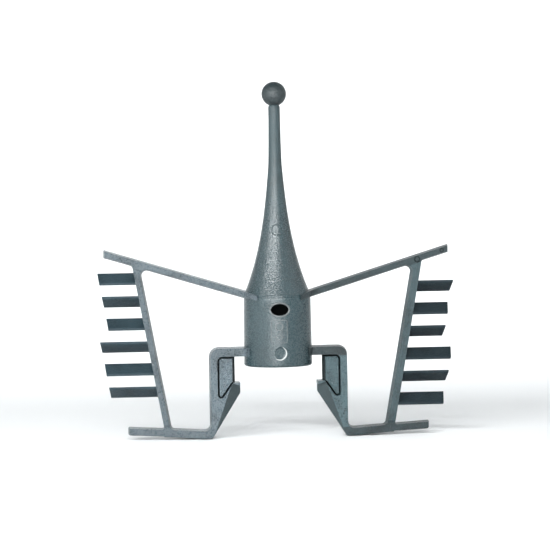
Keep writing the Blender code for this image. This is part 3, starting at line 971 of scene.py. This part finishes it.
def make_set():
    """A pale floor that sweeps up behind the whisk."""
    rings = []
    profile = [(-2.2, 0.0), (0.55, 0.0)]
    profile += [(0.55 + y, z) for y, z in arc(0.0, 0.35, 0.35, -90.0, 0.0, 16)][1:] + [(0.9, 1.6)]
    cage = bmesh.new()
    for x in (-2.4, 2.4):
        rings.append([cage.verts.new((x, y, z)) for y, z in profile])
    for i in range(len(profile) - 1):
        cage.faces.new((rings[0][i], rings[0][i + 1], rings[1][i + 1], rings[1][i]))
    bmesh.ops.recalc_face_normals(cage, faces=cage.faces)
    mesh = bpy.data.meshes.new("studio_sweep")
    cage.to_mesh(mesh)
    cage.free()
    mesh.shade_smooth()
    sweep = bpy.data.objects.new("studio_sweep", mesh)
    bpy.context.scene.collection.objects.link(sweep)
    paper = bpy.data.materials.new("pale_paper")
    paper.use_nodes = True
    shader = paper.node_tree.nodes["Principled BSDF"]
    shader.inputs["Base Color"].default_value = (0.86, 0.87, 0.88, 1.0)
    shader.inputs["Roughness"].default_value = 0.9
    shader.inputs["Specular IOR Level"].default_value = 0.1
    sweep.data.materials.append(paper)


def area_light(name, azimuth, elevation, distance, size, power):
    """A soft light aimed at the whisk. Azimuth is from the front, negative to the left."""
    turn, rise = math.radians(azimuth), math.radians(elevation)
    away = Vector((math.sin(turn) * math.cos(rise), -math.cos(turn) * math.cos(rise), math.sin(rise)))
    data = bpy.data.lights.new(name, "AREA")
    data.shape = "RECTANGLE"
    data.size, data.size_y = size
    data.energy = power
    data.color = LAMP_COLOUR
    lamp = bpy.data.objects.new(name, data)
    lamp.location = Vector((0.0, 0.0, 0.06)) + away * distance
    lamp.rotation_euler = (-away).to_track_quat("-Z", "Y").to_euler()
    bpy.context.scene.collection.objects.link(lamp)
    return lamp


def make_light():
    """A soft light from the viewer's side, a key on the upper left, and weak lights all round."""
    world = bpy.data.worlds.new("studio")
    bpy.context.scene.world = world
    world.use_nodes = True
    sky = world.node_tree.nodes["Background"]
    sky.inputs["Color"].default_value = (0.92, 0.96, 1.0, 1.0)
    sky.inputs["Strength"].default_value = 0.03
    area_light("front", -5.0, 4.0, 0.90, (0.13, 0.16), 3.0)
    area_light("near", -17.0, 5.0, 0.50, (0.12, 0.12), 0.54)
    area_light("key", -28.0, 24.0, 0.60, (0.70, 0.05), 5.8)
    area_light("left_side", -90.0, 8.0, 0.70, (0.7, 0.5), 1.8)
    area_light("right_side", 90.0, 16.0, 0.70, (0.7, 0.5), 1.15)
    area_light("top_fill", 38.0, 36.0, 0.70, (0.9, 0.6), 1.9)
    area_light("rear", 165.0, 28.0, 0.80, (0.8, 0.5), 1.4)
    behind = area_light("backdrop_light", 180.0, 45.0, 0.55, (0.5, 0.5), 2.7)
    behind.rotation_euler = Vector((0.0, 0.55, -0.35)).to_track_quat("-Z", "Y").to_euler()
    bpy.context.scene.view_settings.view_transform = "Standard"


def make_camera():
    """A long lens a little left of the front and a little above, rolled slightly."""
    azimuth, elevation, roll = math.radians(-4.0), math.radians(2.0), math.radians(0.96)
    aim = Vector((-0.66, 0.0, 59.65)) * MM
    distance, view_width = 0.787, 0.2022
    back = Vector((math.sin(azimuth) * math.cos(elevation), -math.cos(azimuth) * math.cos(elevation),
                   math.sin(elevation)))
    data = bpy.data.cameras.new("camera")
    data.sensor_width = 36.0
    data.lens = 36.0 * distance / view_width
    data.clip_start = 0.01
    data.clip_end = 20.0
    camera = bpy.data.objects.new("camera", data)
    camera.location = aim + back * distance
    camera.rotation_mode = "QUATERNION"
    level = (-back).to_track_quat("-Z", "Y")
    camera.rotation_quaternion = level @ Matrix.Rotation(-roll, 3, "Z").to_quaternion()
    bpy.context.scene.collection.objects.link(camera)
    bpy.context.scene.camera = camera


def make_hub(socket):
    """Sleeve, bell, rod and ball."""
    # Sleeve, bell and rod, and ball get different tints of the one plastic: painted light and shade, the
    # ball's the darkest.
    hub = moulded_plastic("hub_plastic", 0.8, 0.5, (0.14, 0.42))
    spire = moulded_plastic("spire_plastic", 0.72, 0.5, (0.06, 0.40))
    dull_upwards(spire, 76.0, 106.0, 0.34)
    ball = moulded_plastic("ball_painted_shade", 0.34, 0.8, (0.46, 0.56))
    # Lighter than the plastic for the raised beads: painted highlight.
    witness = moulded_plastic("bead_painted_highlight", 1.8, 0.6, (0.30, 0.38), (0.045, 0.051, 0.053))
    make_sleeve(hub, socket, witness)
    make_bell(spire, socket)
    make_spire(spire, ball)


def make_wing(tag, side, groove, chamfer, shade):
    """One wing with its bracket and its tines."""
    # Each member gets its own lighter or darker copy of the one plastic: painted light and shade.
    bracket = moulded_plastic(f"{tag}_bracket_plastic", *BRACKET_LOOK[tag])
    bar = moulded_plastic(f"{tag}_bar_plastic", *BAR_LOOK[tag])
    post = moulded_plastic(f"{tag}_post_plastic", *POST_LOOK[tag])
    wing = moulded_plastic(f"{tag}_wing_plastic", *WING_LOOK[tag])
    blades = moulded_plastic(f"{tag}_tine_plastic", *TINE_LOOK[tag])
    soften(blades, 0.17)
    looks = {"hanger_leg": bracket, "catch_hook": bracket, "hanger_bar": bar, "post": post}
    whole = whole_frame(POST_EXTRA[tag], FACE_TILT[tag], ROUND_MARKS if tag == "right" else ())
    for name, part in split_frame(whole).items():
        look = looks.get(name, wing)
        obj = finish_piece(f"{tag}_{name}", mirrored(part, side), [f"{tag}_{name}"], look)
        # The slanted faces take the darker copy: painted shade.
        if look is bracket:
            paint_shade_on_faces(obj, chamfer, slanted)
        # The walls of the round marks: near-black painted shade.
        if name == "top_arm" and tag == "right":
            paint_shade_on_faces(obj, groove, in_ring)
    make_web(tag, side, moulded_plastic(f"{tag}_panel_plastic", *PANEL_LOOK[tag]), groove, shade)
    for number in range(1, TINES + 1):
        make_tine(tag, side, number, blades)


def main():
    """Build the hub, both wings and the studio."""
    # Near-black for the inside of the socket and the bell: painted shade, where the real plastic is the
    # same grey.
    socket = moulded_plastic("socket_painted_shade", 0.06, 0.3, (0.75, 0.85))
    soften(socket, 0.12)
    # Near-black for the panels' grooves and the walls of the round marks: painted shade.
    groove = moulded_plastic("groove_painted_shade", 0.05, 0.3, (0.8, 0.9))
    soften(groove, 0.15)
    # A darker copy of the plastic for the brackets' slanted faces: painted shade.
    chamfer = moulded_plastic("slant_painted_shade", 0.54, 0.7, (0.42, 0.54))
    # A dark copy for the panel's inner side: painted shade.
    shade = moulded_plastic("web_edge_painted_shade", 0.3, 0.5, (0.5, 0.6))
    soften(shade, 0.15)
    make_hub(socket)
    for tag, side in SIDES:
        make_wing(tag, side, groove, chamfer, shade)
    make_set()
    make_light()
    make_camera()


main()
